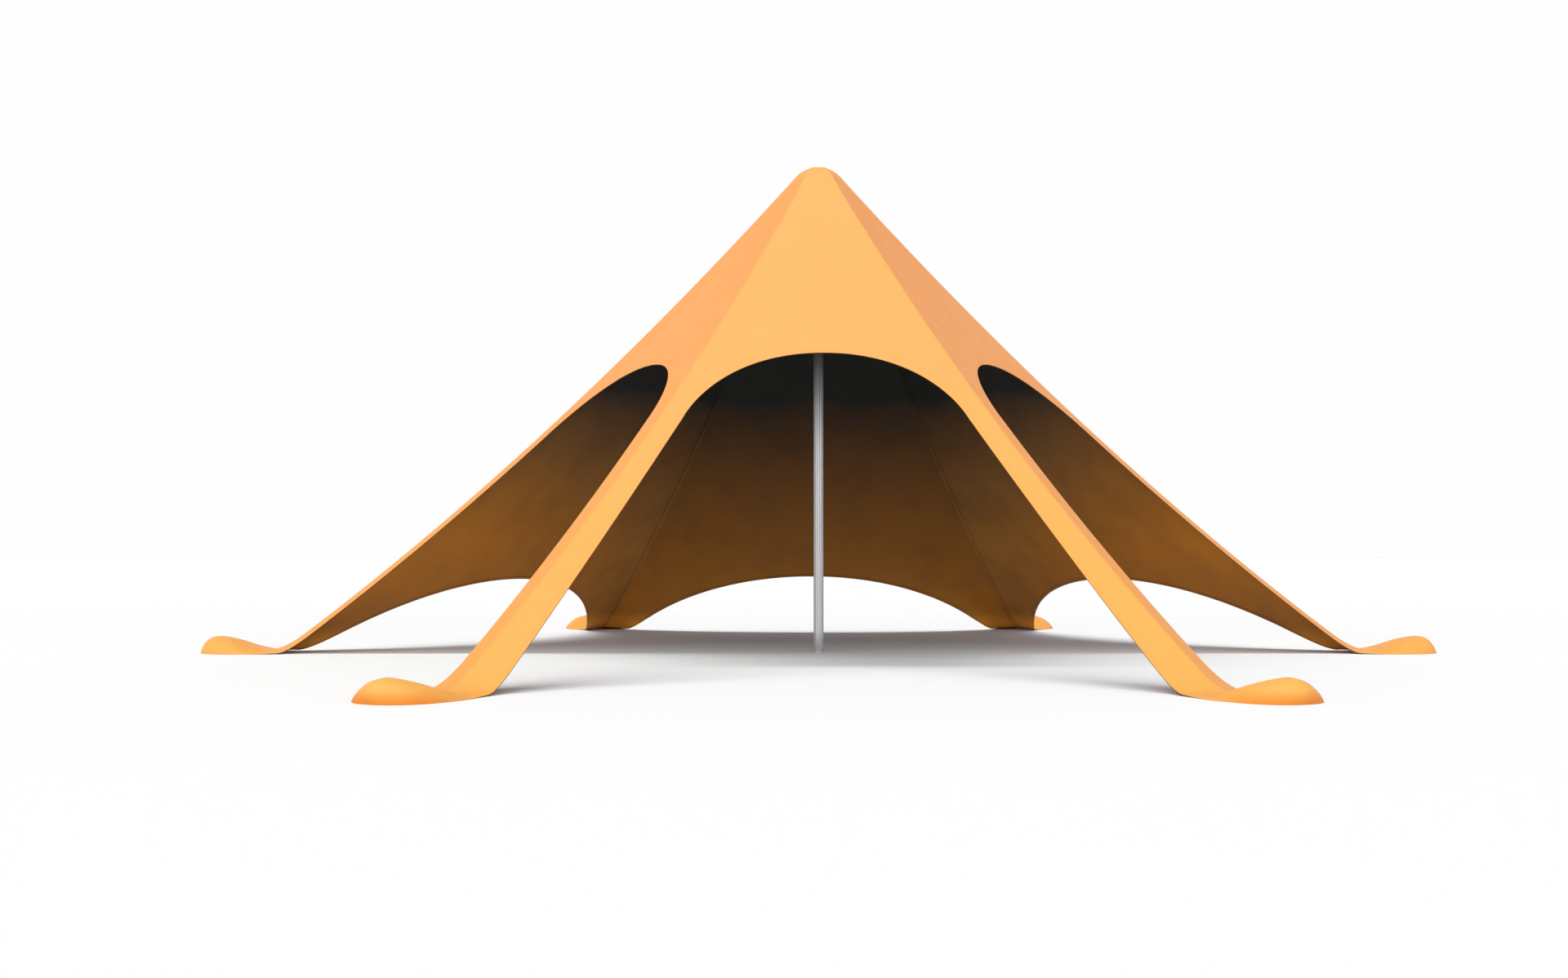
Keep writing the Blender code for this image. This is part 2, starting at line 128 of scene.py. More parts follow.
def ridge(r):
    """Height and slope of a ridge at radius r, with the flare that lays it on the ground."""
    if r <= FLARE_START:
        return ridge_line(r)
    start, slope = ridge_line(FLARE_START)
    bend = FLARE_START + (PINCH_CREST - start) / slope
    a = FLARE_START - 2 * bend + PINCH
    b = 2 * (bend - FLARE_START)
    t = (-b + sqrt(max(0.0, b * b - 4 * a * (FLARE_START - r)))) / (2 * a)
    height = start * (1 - t) ** 2 + PINCH_CREST * (1 - (1 - t) ** 2)
    run = 2 * (1 - t) * (bend - FLARE_START) + 2 * t * (PINCH - bend)
    return height, 2 * (1 - t) * (PINCH_CREST - start) / run


def pinch_drop(share):
    """How far the pinched cloth lies below its crest, at this share of the way out to its edge."""
    return (PINCH_CREST - GROUND_CLEARANCE) * min(share, 1.0)


def leg_edge(r, foot_width):
    """Distance from the gore's middle line to the edge of an entrance leg, where the ridge has radius r."""
    along = (r - ENTRANCE_ARCH[-1][1]) / (PINCH - ENTRANCE_ARCH[-1][1])
    width = LEG_WIDTH + (foot_width - LEG_WIDTH) * along**LEG_SPREAD
    width += (PINCH_WIDTH - foot_width) * along**PINCH_SPREAD
    return 0.5 * r - width


def gore_point(side, r, depth=0.0, mitre=0.0):
    """Point on a gore that faces +X: side from its middle line, on the level where the ridge has radius r.

    depth lifts it off the underside, and mitre (-1, 0 or 1) keeps it in the plane of a ridge while it does.
    """
    height, slope = ridge(r)
    if r > FLARE_START:
        flared = (r - FLARE_START) / (PINCH - FLARE_START)
        height -= pinch_drop((0.5 * r - abs(side)) / PINCH_WIDTH) * flared**2
    normal = Vector((-slope / cos(SECTOR / 2), 0.0, 1.0)).normalized()
    lean = tan(SECTOR / 2) * normal.x * depth
    return Vector((r * cos(SECTOR / 2), side + mitre * lean, height)) + normal * depth


def turned(point, angle):
    """The point turned about the mast by an angle in degrees."""
    a = radians(angle)
    return Vector((point.x * cos(a) - point.y * sin(a), point.x * sin(a) + point.y * cos(a), point.z))


OVER_CROWN = 14
RIDGE_STEPS = 72
ACROSS = 22


def ridge_station(i):
    """Radius of the i-th station along a ridge."""
    return CAP_RIM + (PINCH - CAP_RIM) * (1 - (1 - i / RIDGE_STEPS) ** RIDGE_CROWDING)


def entrance_columns(foot_width):
    """Half an entrance gore: pairs of a point on its edge and the point across the cloth from it.

    Each is side and ridge radius. The last value says whether the far point lies on the ridge.
    """
    beside_crown = next(i for i in range(RIDGE_STEPS) if ridge_station(i) > ENTRANCE_ARCH[-1][1]) - 1
    columns = []
    for i in range(OVER_CROWN + 1):
        share = i / OVER_CROWN
        edge = bezier(ENTRANCE_ARCH, ARCH_UNDER_CAP * share)
        columns.append((edge, (share * CAP_RIM / 2, CAP_RIM), share == 1))
    for i in range(1, RIDGE_STEPS + 1):
        r = ridge_station(i)
        if i <= beside_crown:
            edge = bezier(ENTRANCE_ARCH, ARCH_UNDER_CAP + (1 - ARCH_UNDER_CAP) * i / beside_crown)
        else:
            edge = (leg_edge(r, foot_width), r)
        columns.append((edge, (0.5 * r, r), True))
    return columns


def scallop_columns():
    """Half a back gore, in the same form as entrance_columns."""
    columns = []
    for i in range(OVER_CROWN + 1):
        share = i / OVER_CROWN
        edge = bezier(LOW_SCALLOP, SCALLOP_UNDER_CAP * share)
        columns.append((edge, (share * CAP_RIM / 2, CAP_RIM), share == 1))
    for i in range(1, RIDGE_STEPS + 1):
        r = ridge_station(i)
        edge = bezier(LOW_SCALLOP, SCALLOP_UNDER_CAP + (1 - SCALLOP_UNDER_CAP) * i / RIDGE_STEPS)
        columns.append((edge, (0.5 * r, r), True))
    return columns


def both_halves(half):
    """The columns of a whole gore from those of its half, each with the side of the ridge it ends on."""
    columns = [((-e[0], e[1]), (-f[0], f[1]), -1 if on_ridge else 0) for e, f, on_ridge in half[:0:-1]]
    return columns + [(e, f, 1 if on_ridge else 0) for e, f, on_ridge in half]


def between(edge, far, share):
    """Side and ridge radius at this share of the way from a column's edge to its far end."""
    return tuple(e + (f - e) * share for e, f in zip(edge, far))


SLOPE_STEPS = 400
SLOPE_LENGTHS = [0.0]
for step in range(SLOPE_STEPS):
    r0 = CAP_RIM + (PINCH - CAP_RIM) * step / SLOPE_STEPS
    r1 = CAP_RIM + (PINCH - CAP_RIM) * (step + 1) / SLOPE_STEPS
    run = (r1 - r0) * cos(SECTOR / 2)
    SLOPE_LENGTHS.append(SLOPE_LENGTHS[-1] + sqrt(run * run + (ridge(r1)[0] - ridge(r0)[0]) ** 2))


def slope_length(r):
    """Length of cloth down the middle of a gore, from its top to the level where the ridge has radius r."""
    place = min(max((r - CAP_RIM) / (PINCH - CAP_RIM), 0.0), 1.0) * SLOPE_STEPS
    k = min(int(place), SLOPE_STEPS - 1)
    return SLOPE_LENGTHS[k] + (SLOPE_LENGTHS[k + 1] - SLOPE_LENGTHS[k]) * (place - k)


# Materials

class Nodes:
    """Short way to build one node tree: each call adds a node, sets its inputs and gives its output."""

    def __init__(self, name):
        self.material = bpy.data.materials.new(name)
        self.material.use_nodes = True
        self.tree = self.material.node_tree
        self.shader = self.tree.nodes["Principled BSDF"]

    def add(self, kind, inputs=None, output=0, **settings):
        node = self.tree.nodes.new(kind)
        for key, value in settings.items():
            setattr(node, key, value)
        for key, value in (inputs or {}).items():
            self.set(node.inputs[key], value)
        return node.outputs[output]

    def set(self, socket, value):
        if isinstance(value, bpy.types.NodeSocket):
            self.tree.links.new(value, socket)
        else:
            socket.default_value = value

    def math(self, operation, a, b=0.0, c=0.0):
        return self.add("ShaderNodeMath", {0: a, 1: b, 2: c}, operation=operation)

    def mix(self, share, a, b):
        return self.add("ShaderNodeMix", {0: share, 6: a, 7: b}, 2, data_type="RGBA")

    def ramp(self, value, low, high, start=0.0, end=1.0):
        limits = {0: value, 1: low, 2: high, 3: start, 4: end}
        return self.add("ShaderNodeMapRange", limits, interpolation_type="SMOOTHSTEP")

    def noise(self, place, scale, detail=3.0, roughness=0.5):
        settings = {"Vector": place, "Scale": scale, "Detail": detail, "Roughness": roughness}
        return self.add("ShaderNodeTexNoise", settings)

    def finish(self, **inputs):
        for key, value in inputs.items():
            self.set(self.shader.inputs[key.replace("_", " ")], value)
        return self.material


def weave(nodes, flat, pitch):
    """Height of a plain weave of the given pitch on flat cloth coordinates in metres."""
    axes = nodes.add("ShaderNodeSeparateXYZ", {0: flat})
    node = axes.node
    turns = 2 * pi / pitch
    warp = nodes.math("SINE", nodes.math("MULTIPLY", node.outputs[0], turns))
    weft = nodes.math("SINE", nodes.math("MULTIPLY", node.outputs[1], turns))
    return nodes.math("MULTIPLY", warp, weft)


def stitch_rows(nodes, distance, along, rows, stitch=0.006, thread=0.0012):
    """1 on the threads of rows of stitches that run at the given distances from an edge, else 0."""
    total = None
    dash = nodes.math("LESS_THAN", nodes.math("FRACT", nodes.math("DIVIDE", along, stitch)), 0.72)
    for row in rows:
        off = nodes.math("ABSOLUTE", nodes.math("SUBTRACT", distance, row))
        line = nodes.math("MULTIPLY", nodes.math("LESS_THAN", off, thread), dash)
        total = line if total is None else nodes.math("MAXIMUM", total, line)
    return total


# Outer side of the cloth: heights of its low and its high colour, and these. All rows are one apricot under
# painted light: the front panel lighter and yellower than the sides, a small shift in colour with height, and
# the front hoods darker and redder low down as painted shade
OUTER_TONES = {
    "front": (0.3, 3.4, (0.602, 0.2730, 0.0560, 1), (0.606, 0.2700, 0.0680, 1)),
    "side": (0.3, 3.4, (0.592, 0.2480, 0.0500, 1), (0.597, 0.2440, 0.0640, 1)),
    "hood": (0.0, 0.15, (0.600, 0.2650, 0.0500, 1), (0.602, 0.2710, 0.0540, 1)),
    "front_hood": (0.01, 0.12, (0.565, 0.1780, 0.0170, 1), (0.602, 0.2900, 0.0620, 1)),
}

# Inner side, one dark brown under painted shade and light: height where its painted black shade at the top ends,
# height of its full brown, power between, share of painted black shade at its foot, and the brown next to the
# middle of the tent and out along the arms. The back and side rows are this brown under different painted light
INNER_TONES = {
    "back": (3.08, 0.50, 0.85, 0.0, (0.318, 0.1195, 0.0124, 1), (0.318, 0.1195, 0.0124, 1)),
    "side": (3.05, 1.20, 0.80, 0.2, (0.352, 0.1480, 0.0250, 1), (0.402, 0.1410, 0.0116, 1)),
}
# Near black of the painted shade on the inner side, also used for random dark specks on the hem lining
INNER_BLACK = (0.0185, 0.0182, 0.0165, 1)
# Bright orange of the painted light at the foot of the inner side
INNER_FOOT_LIGHT = (0.80, 0.31, 0.030, 1)


def outside_apricot(nodes, place, panel):
    """Apricot of the outer side, with painted light that changes it a little by panel and with the height, and
    random broad patches.
    """
    low, high, low_colour, high_colour = OUTER_TONES[panel]
    height = nodes.add("ShaderNodeSeparateXYZ", {0: place}, 2)
    # Painted shade: the front hoods turn darker and redder low down, more so further out past the pinch
    if panel == "front_hood":
        reach = nodes.add("ShaderNodeVectorMath", {0: place}, 1, operation="LENGTH")
        hood_shade_share = nodes.ramp(reach, PINCH + 0.20, PINCH + 0.60)
        low_colour = nodes.mix(hood_shade_share, OUTER_TONES["front"][2], low_colour)
    # Painted light: the colour shifts with height from the low to the high colour of the panel
    colour = nodes.mix(nodes.ramp(height, low, high), low_colour, high_colour)
    broad = nodes.noise(place, 0.7, 2.0)
    return nodes.mix(nodes.ramp(broad, 0.35, 0.65, 0.04, 0.0), colour, (0.480, 0.1500, 0.0250, 1))


def inside_brown(nodes, place, panel):
    """Brown of the inner side, with painted shade that makes it nearly black at the top, painted light that makes
    it bright at the feet, and painted shade in soft vertical folds.
    """
    top, full, power, foot, near, far = INNER_TONES[panel]
    axes = nodes.add("ShaderNodeSeparateXYZ", {0: place}).node.outputs
    across = nodes.math("ABSOLUTE", axes[0])
    # Painted light: the brown is lighter and redder out along the arms than near the middle
    brown = nodes.mix(nodes.ramp(across, 2.0, 4.2), near, far)
    # Painted shade: the brown turns to near black towards the top, along an uneven line
    height = nodes.math("SUBTRACT", axes[2], 0.15)
    ragged_shade_height = nodes.math("MULTIPLY_ADD", nodes.noise(place, 1.6, 3.0), 0.3, height)
    down = nodes.math("POWER", nodes.add("ShaderNodeMapRange", {0: ragged_shade_height, 1: top, 2: full}), power)
    colour = nodes.mix(down, INNER_BLACK, brown)
    # Painted shade: the side gores darken near their foot, fading out by 1.3 m
    colour = nodes.mix(nodes.ramp(axes[2], 0.3, 1.3, foot, 0.0), colour, INNER_BLACK)
    # Painted light: the inner side turns bright orange over its lowest 0.3 m
    colour = nodes.mix(nodes.ramp(axes[2], 0.03, 0.30, 0.75, 0.0), colour, INNER_FOOT_LIGHT)
    # Painted shade: dark vertical streaks where the cloth hangs in folds
    fold_shade = nodes.noise(nodes.add("ShaderNodeMapping", {0: place, 3: (1.0, 1.0, 0.16)}), 2.4, 3.0)
    return nodes.mix(nodes.ramp(fold_shade, 0.40, 0.72, 0.0, 0.14), colour, INNER_BLACK)


def cloth_material(name, panel, inner=False):
    """Coated polyester, apricot outside and dark brown inside, both under painted light and shade, with its seams,
    stitches and soft creases.

    The UV map "cloth" holds the flat cloth in metres, and the map "sewing" the distances from the seam and
    from the free edge.
    """
    nodes = Nodes(name)
    flat = nodes.add("ShaderNodeUVMap", uv_map="cloth")
    sewing = nodes.add("ShaderNodeSeparateXYZ", {0: nodes.add("ShaderNodeUVMap", uv_map="sewing")}).node
    seam, edge = sewing.outputs[0], sewing.outputs[1]
    along = nodes.add("ShaderNodeSeparateXYZ", {0: flat}, 1)
    place = nodes.add("ShaderNodeTexCoord", output=3)

    cloudy = nodes.noise(place, 5.0, 5.0, 0.6)
    if inner:
        colour = inside_brown(nodes, place, panel)
        roughness = nodes.ramp(cloudy, 0.3, 0.7, 0.70, 0.80)
        thread = (0.10, 0.04, 0.012, 1)
        crease = 0.012
    else:
        colour = outside_apricot(nodes, place, panel)
        colour = nodes.mix(nodes.ramp(cloudy, 0.55, 0.80, 0.0, 0.05), colour, (0.550, 0.225, 0.045, 1))
        roughness = nodes.ramp(cloudy, 0.3, 0.7, 0.50, 0.58)
        thread = (0.42, 0.15, 0.030, 1)
        crease = 0.003
    stitches = nodes.math(
        "MAXIMUM",
        stitch_rows(nodes, seam, along, (0.006, 0.018)),
        stitch_rows(nodes, edge, along, (0.008, 0.038)),
    )
    colour = nodes.mix(nodes.math("MULTIPLY", stitches, 0.55), colour, thread)

    seam_step = nodes.ramp(seam, 0.020, 0.026, 1.0, 0.0)
    hem_step = nodes.ramp(edge, 0.042, 0.048, 1.0, 0.0)
    folds = nodes.noise(nodes.add("ShaderNodeMapping", {0: place, 3: (1.0, 1.0, 0.35)}), 2.2, 2.0)
    relief = nodes.math("MULTIPLY", weave(nodes, flat, 0.0016), 0.00006)
    for part, size in ((seam_step, 0.0008), (hem_step, 0.0006), (stitches, 0.0006), (folds, crease)):
        relief = nodes.math("MULTIPLY_ADD", part, size, relief)
    bump = nodes.add("ShaderNodeBump", {"Strength": 1.0, "Distance": 1.0, "Height": relief})
    return nodes.finish(
        Base_Color=colour,
        Roughness=roughness,
        Normal=bump,
        Specular_IOR_Level=0.15,
    )


def hem_material(name, panel=None):
    """Woven binding of the free edges: dark brown along the edge, and as the cloth on its inner face."""
    nodes = Nodes(name)
    flat = nodes.add("ShaderNodeUVMap", uv_map="cloth")
    ribs = weave(nodes, flat, 0.0024)
    place = nodes.add("ShaderNodeTexCoord", output=3)
    speck = nodes.noise(place, 60.0, 3.0)
    if panel is None:
        colour = nodes.mix(nodes.ramp(speck, 0.35, 0.65), (0.085, 0.030, 0.008, 1), (0.115, 0.044, 0.012, 1))
    else:
        # This brown carries the inner side's painted shade and light
        brown = inside_brown(nodes, place, panel)
        colour = nodes.mix(nodes.ramp(speck, 0.35, 0.65, 0.05, 0.25), brown, INNER_BLACK)
    bump = nodes.add("ShaderNodeBump", {"Strength": 0.6, "Distance": 0.0004, "Height": ribs})
    return nodes.finish(Base_Color=colour, Roughness=0.8, Normal=bump, Specular_IOR_Level=0.2)


def belt_material():
    """Webbing of the ridge belts: a twill of ribs along the belt, with painted shade in its grooves."""
    nodes = Nodes("belt_webbing")
    flat = nodes.add("ShaderNodeUVMap", uv_map="cloth")
    axes = nodes.add("ShaderNodeSeparateXYZ", {0: flat}).node
    slant = nodes.math("ADD", axes.outputs[0], nodes.math("MULTIPLY", axes.outputs[1], 0.5))
    twill = nodes.math("SINE", nodes.math("MULTIPLY", slant, 2 * pi / 0.004))
    brown = inside_brown(nodes, nodes.add("ShaderNodeTexCoord", output=3), "side")
    # Painted shade: the twill darkens in the grooves between its ribs, over the inner side's painted brown
    colour = nodes.mix(nodes.ramp(twill, -1.0, 1.0, 0.15, 0.0), brown, INNER_BLACK)
    bump = nodes.add("ShaderNodeBump", {"Strength": 0.7, "Distance": 0.0006, "Height": twill})
    return nodes.finish(Base_Color=colour, Roughness=0.75, Normal=bump, Specular_IOR_Level=0.2)


def aluminium_material():
    """Anodised aluminium: fine draw lines, painted shade in the grooves between the flutes, and painted shade on
    its top part.
    """
    nodes = Nodes("mast_anodised_aluminium")
    place = nodes.add("ShaderNodeTexCoord", output=3)
    axes = nodes.add("ShaderNodeSeparateXYZ", {0: place}).node.outputs
    stretched = nodes.add("ShaderNodeMapping", {0: place, 3: (160.0, 160.0, 1.2)})
    lines = nodes.noise(stretched, 1.0, 4.0, 0.6)
    smudge = nodes.noise(place, 4.0, 4.0, 0.6)
    colour = nodes.mix(nodes.ramp(lines, 0.3, 0.7), (0.475, 0.470, 0.460, 1), (0.505, 0.500, 0.490, 1))
    # Painted shade: near black in the grooves between the flutes
    angle = nodes.math("MULTIPLY", nodes.math("ARCTAN2", axes[1], axes[0]), FLUTES / 2)
    crown = nodes.math("ABSOLUTE", nodes.math("COSINE", angle))
    colour = nodes.mix(nodes.ramp(crown, 0.05, 0.45, 0.85, 0.0), colour, (0.02, 0.02, 0.02, 1))
    # Painted shade: the mast darkens above 2.85 m, where the canopy shades it
    colour = nodes.mix(nodes.ramp(axes[2], 2.85, 3.40, 0.0, 0.68), colour, (0.02, 0.02, 0.02, 1))
    roughness = nodes.math("MULTIPLY_ADD", smudge, 0.12, nodes.ramp(lines, 0.2, 0.8, 0.38, 0.46))
    bump = nodes.add("ShaderNodeBump", {"Strength": 0.06, "Distance": 0.0004, "Height": lines})
    return nodes.finish(Base_Color=colour, Metallic=0.55, Roughness=roughness, Normal=bump)


def steel_material():
    """Galvanised steel with its spangle."""
    nodes = Nodes("plate_galvanised_steel")
    place = nodes.add("ShaderNodeTexCoord", output=3)
    spangle = nodes.add("ShaderNodeTexVoronoi", {"Vector": place, "Scale": 70.0}, 1)
    grey = nodes.add("ShaderNodeSeparateColor", {0: spangle})
    colour = nodes.mix(grey, (0.34, 0.35, 0.36, 1), (0.50, 0.51, 0.52, 1))
    return nodes.finish(Base_Color=colour, Metallic=0.9, Roughness=nodes.ramp(grey, 0.0, 1.0, 0.38, 0.55))


# Pieces

def shell(name, inner, outer, flat, sewing, materials):
    """Closed cloth sheet between two grids of points, with its UV maps and its two faces' materials."""
    rows, columns = len(inner), len(inner[0])
    mesh = bpy.data.meshes.new(name)
    count = rows * columns
    vertices = [p for grid in (inner, outer) for row in grid for p in row]
    faces, slots, inside_out = [], [], []
    for i in range(rows - 1):
        for j in range(columns - 1):
            a, b, c, d = i * columns + j, i * columns + j + 1, (i + 1) * columns + j + 1, (i + 1) * columns + j
            faces.append((a, b, c, d))
            slots.append(1)
            faces.append((count + a, count + d, count + c, count + b))
            slots.append(0)
    for i in range(rows - 1):
        for j in (0, columns - 1):
            a, b = i * columns + j, (i + 1) * columns + j
            faces.append((a, b, count + b, count + a))
            slots.append(2)
    for j in range(columns - 1):
        for i in (0, rows - 1):
            a, b = i * columns + j, i * columns + j + 1
            faces.append((a, count + a, count + b, b))
            slots.append(2)
    mesh.from_pydata([tuple(v) for v in vertices], [], faces)
    for material in materials:
        mesh.materials.append(material)
    mesh.polygons.foreach_set("material_index", slots)
    for label, grid in (("cloth", flat), ("sewing", sewing)):
        layer = mesh.uv_layers.new(name=label)
        values = [value for row in grid for value in row] * 2
        for loop in mesh.loops:
            layer.data[loop.index].uv = values[loop.vertex_index]
    work = bmesh.new()
    work.from_mesh(mesh)
    bmesh.ops.recalc_face_normals(work, faces=work.faces)
    work.to_mesh(mesh)
    work.free()
    mesh.shade_smooth()
    mesh.set_sharp_from_angle(angle=radians(40))
    made = bpy.data.objects.new(name, mesh)
    bpy.context.scene.collection.objects.link(made)
    return made


def add_gore(name, angle, half, cloth, hem_finish):
    """One gore of cloth, with its hem on the inner side of its free edge."""
    inner, outer, flat, sewing = [], [], [], []
    hem_inner, hem_outer, hem_flat = [], [], []
    run = 0.0
    before = None
    for edge, far, mitre in both_halves(half):
        start, end = gore_point(*edge), gore_point(*far)
        length = (end - start).length
        run += (start - before).length if before else 0.0
        before = start
        under, over, flats, sews = [], [], [], []
        for k in range(ACROSS + 1):
            share = k / ACROSS
            side, r = between(edge, far, share)
            at_ridge = mitre * (k == ACROSS)
            under.append(turned(gore_point(side, r, CLOTH_INSIDE, at_ridge), angle))
            over.append(turned(gore_point(side, r, CLOTH_OUTSIDE, at_ridge), angle))
            flats.append((side, slope_length(r)))
            sews.append((0.5 * r - abs(side) if r > CAP_RIM else 1.0, share * length))
        inner.append(under)
        outer.append(over)
        flat.append(flats)
        sewing.append(sews)
        within = between(edge, far, HEM_WIDTH / length)
        hem_outer.append([turned(gore_point(*p, HEM_OUTSIDE), angle) for p in (edge, within)])
        hem_inner.append([turned(gore_point(*p, HEM_INSIDE), angle) for p in (edge, within)])
        hem_flat.append([(run, 0.0), (run, HEM_WIDTH)])
    gore = shell("canopy_gore_" + name, inner, outer, flat, sewing, cloth)
    hem = shell("canopy_hem_" + name, hem_inner, hem_outer, hem_flat, hem_flat, hem_finish)
    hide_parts("gore_" + name)
    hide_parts("edge_hem_" + name)
    for piece in (gore, hem):
        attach(piece, "root")
    length = slope_length(PINCH)


CAP_STEPS = 96


def cap_ring(radius, height, roundness):
    """Ring of the apex cap: a hexagon at its rim, which turns into a circle towards the crown."""
    ring = []
    for k in range(CAP_STEPS):
        a = 2 * pi * k / CAP_STEPS
        flat = cos(SECTOR / 2) / cos(a % SECTOR - SECTOR / 2)
        reach = radius * (flat * roundness + 1 - roundness)
        ring.append(Vector((reach * cos(a), reach * sin(a), height)))
    return ring


def smooth_profile(points, steps):
    """Catmull-Rom curve through points, with its slope level at the last one."""
    padded = [points[0], *points, (-points[-1][0], points[-1][1])]
    curve = []
    for k in range(1, len(padded) - 2):
        p = padded[k - 1 : k + 3]
        for i in range(steps):
            t = i / steps
            curve.append(tuple(
                0.5 * (2 * p[1][n] + (p[2][n] - p[0][n]) * t
                       + (2 * p[0][n] - 5 * p[1][n] + 4 * p[2][n] - p[3][n]) * t * t
                       + (3 * p[1][n] - p[0][n] - 3 * p[2][n] + p[3][n]) * t**3)
                for n in range(2)
            ))
    return curve + [points[-1]]


def add_cap(cloth):
    """Cloth over the mast head: the facets run on into it and round over to a flat top."""
    height, slope = ridge(CAP_RIM)
    profile = smooth_profile([(CAP_RIM, height), *CAP_PROFILE, (0.012, CAP_TOP)], 6)
    normal_x = -slope / cos(SECTOR / 2)
    normal = Vector((normal_x, 1.0)).normalized()
    inner, outer, flat, sewing = [], [], [], []
    run = 0.0
    for k, (radius, z) in enumerate(profile):
        share = k / (len(profile) - 1)
        if k:
            run += sqrt((radius - profile[k - 1][0]) ** 2 + (z - profile[k - 1][1]) ** 2)
        lean = normal.x * (1 - share)
        rise = sqrt(1 - lean * lean)
        roundness = 1 - share**3
        reach = lean / cos(SECTOR / 2)
        for grid, depth in ((inner, CLOTH_INSIDE), (outer, CLOTH_OUTSIDE)):
            ring = cap_ring(radius + depth * reach, z + depth * rise, roundness)
            grid.append(ring + ring[:1])
        flat.append([(radius * 2 * pi * j / CAP_STEPS, -run) for j in range(CAP_STEPS + 1)])
        sewing.append([(1.0, 1.0)] * (CAP_STEPS + 1))
    cap = shell("canopy_cap", inner, outer, flat, sewing, cloth)
    work = bmesh.new()
    work.from_mesh(cap.data)
    bmesh.ops.remove_doubles(work, verts=work.verts, dist=1e-5)
    seen = {}
    doomed = []
    for face in work.faces:
        key = frozenset(v.index for v in face.verts)
        doomed += [face, seen[key]] if key in seen else []
        seen[key] = face
    bmesh.ops.delete(work, geom=list(set(doomed)), context="FACES_ONLY")
    bmesh.ops.holes_fill(work, edges=work.edges, sides=0)
    bmesh.ops.recalc_face_normals(work, faces=work.faces)
    work.to_mesh(cap.data)
    work.free()
    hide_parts("apex_cap")
    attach(cap, "root")




def hood_row(t, depth):
    """Row of a hood that points along +X, from one rim over the crest to the other.

    The cloth is still folded along its crest at the pinch, and opens to a dome from there.
    """
    crest_r, crest_z = two_beziers(CREST_RISE, CREST_FALL, t)
    rim_r, rim_y = two_beziers(RIM_SWELL, RIM_CLOSE, t)
    start_z = GROUND_CLEARANCE * (1 - t) ** 6
    spread = depth * min(1.0, 6 * t)
    opened = min(t / HOOD_OPENS, 1.0) ** 1.5
    width = max(rim_y + spread, 0.004)
    row = []
    for k in range(HOOD_COLUMNS + 1):
        q = sin((2 * k / HOOD_COLUMNS - 1) * pi / 2)
        r = crest_r + (rim_r - crest_r) * abs(q) ** (1 + HOOD_SWEEP * t) + depth * t**4
        dome = (1 - q * q) ** HOOD_ROUNDNESS
        lift = depth * (dome + (1 - dome) * (1 - t) ** 8)
        fold = 1 - abs(q)
        z = start_z + (crest_z - start_z) * (fold + (dome - fold) * opened)
        row.append(Vector((r, width * q, z + lift)))
    return row


def add_hood(name, angle, cloth):
    """Hood at the foot of an arm."""
    inner, outer, flat, sewing = [], [], [], []
    for i in range(HOOD_ROWS + 1):
        t = i / HOOD_ROWS
        under, over = hood_row(t, CLOTH_INSIDE), hood_row(t, CLOTH_OUTSIDE)
        inner.append([turned(p, angle) for p in under])
        outer.append([turned(p, angle) for p in over])
        flat.append([(p.y, p.x) for p in over])
        sewing.append([(1.0, min(p.z * 1.5 + 0.004, 1.0)) if t > 0.1 else (1.0, 1.0) for p in over])
    hood = shell("foot_hood_" + name, inner, outer, flat, sewing, cloth)
    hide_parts("hood_" + name)
    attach(hood, "root")


def add_belt(name, angle, belt):
    """Belt under a ridge, folded over it."""
    half_width = sin(SECTOR) * BELT_WIDTH
    inner, outer, flat = [], [], []
    stations = [ridge_station(i) for i in range(RIDGE_STEPS + 1)]
    run = 0.0
    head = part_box("mast_head_plate")[1].x
    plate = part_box("ground_plate_right")[0].x
    lines = [(head + 0.001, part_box("ridge_belt_right")[1].z)] + [(r, ridge(r)[0]) for r in stations]
    lines += [(plate - 0.001, GROUND_CLEARANCE)]
    for k, (r, height) in enumerate(lines):
        steep = sqrt(1 + ridge(min(max(r, CAP_RIM), PINCH))[1] ** 2)
        fold = 0.5 * BELT_WIDTH if CAP_RIM <= r <= PINCH else 0.0
        if k:
            run += sqrt((r - lines[k - 1][0]) ** 2 + (height - lines[k - 1][1]) ** 2)
        for grid, depth in ((outer, -0.0005), (inner, -0.0030)):
            drop = depth * steep
            row = [(r - fold, -half_width), (r, 0.0), (r - fold, half_width)]
            grid.append([turned(Vector((x, y, height + drop)), angle) for x, y in row])
        flat.append([(-half_width, run), (0.0, run), (half_width, run)])
    made = shell("canopy_belt_" + name, inner, outer, flat, flat, [belt] * 3)
    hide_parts("ridge_belt_" + name)
    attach(made, "root")


